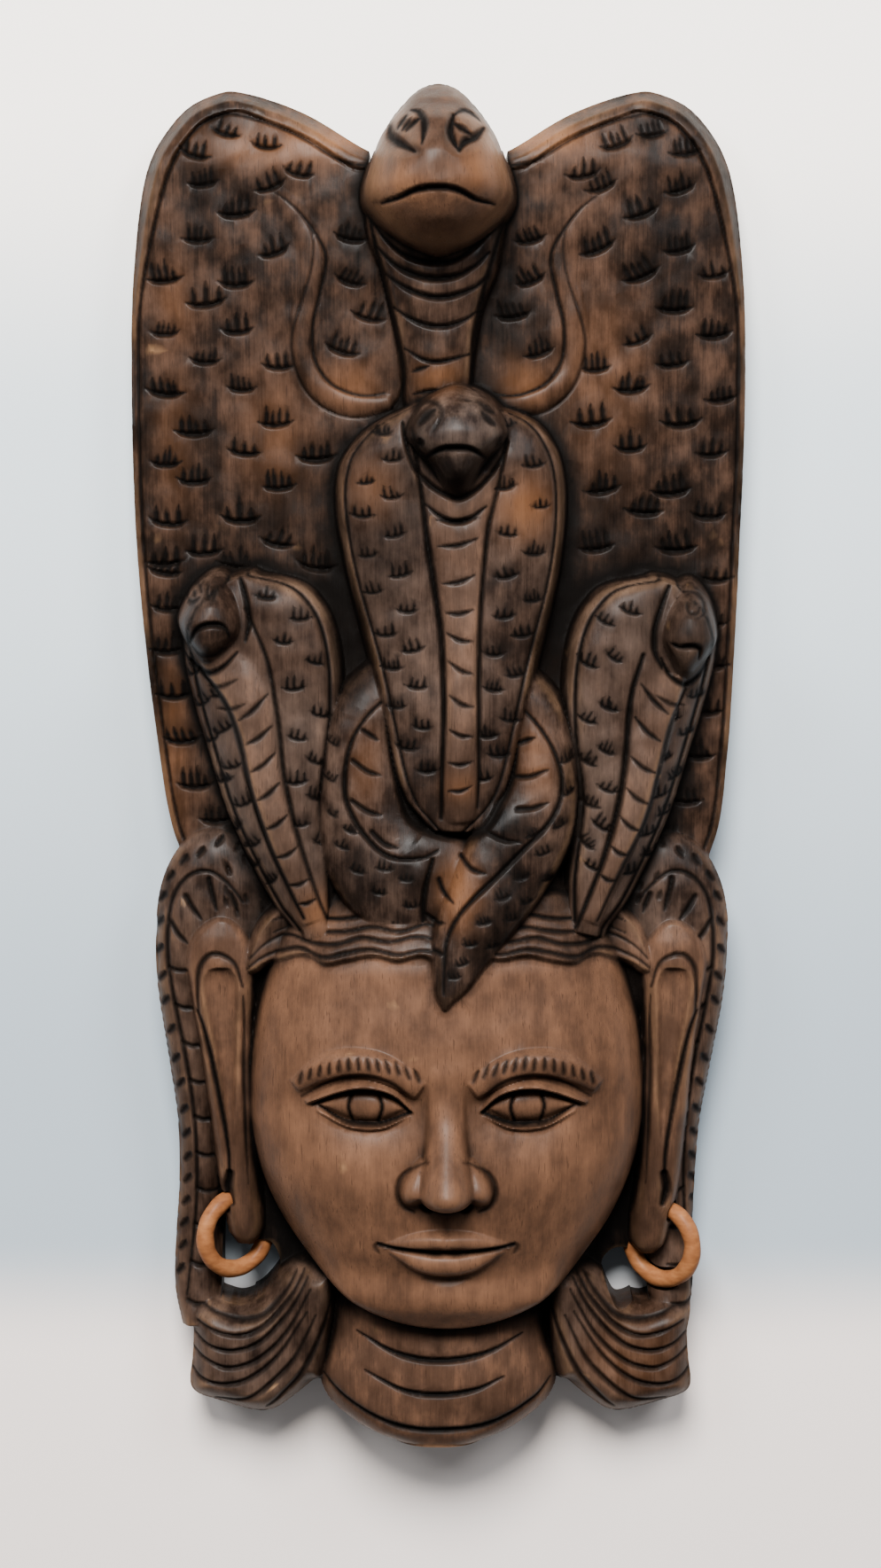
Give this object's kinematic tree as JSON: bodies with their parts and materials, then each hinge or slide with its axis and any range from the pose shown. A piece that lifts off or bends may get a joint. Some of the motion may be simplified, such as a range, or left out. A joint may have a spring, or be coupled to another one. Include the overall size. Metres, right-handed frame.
{
  "type": "carved wooden naga mask",
  "caption": "Tall carved wooden wall mask: a calm face under a coiled crown of cobras and one wide cobra hood, with a loose ring through each long ear lobe.",
  "frame": {"origin": "on the flat back, at the centre of the outline's width and about half way up its height, where the mount back_face is", "axes": "the mask lies on its back: +X to the viewer's right, +Y to the top of the mask, +Z out of its front"},
  "size_m": [0.2302, 0.5101, 0.0893],
  "materials": {
    "stained_wood": "dark stained hardwood under a satin lacquer, nearly black in the cuts",
    "ring_wood": "plain orange-brown wood, satin"
  },
  "bodies": {
    "root": {"mask": "stained_wood", "left_ring": "ring_wood", "right_ring": "ring_wood"}
  },
  "joints": []
}
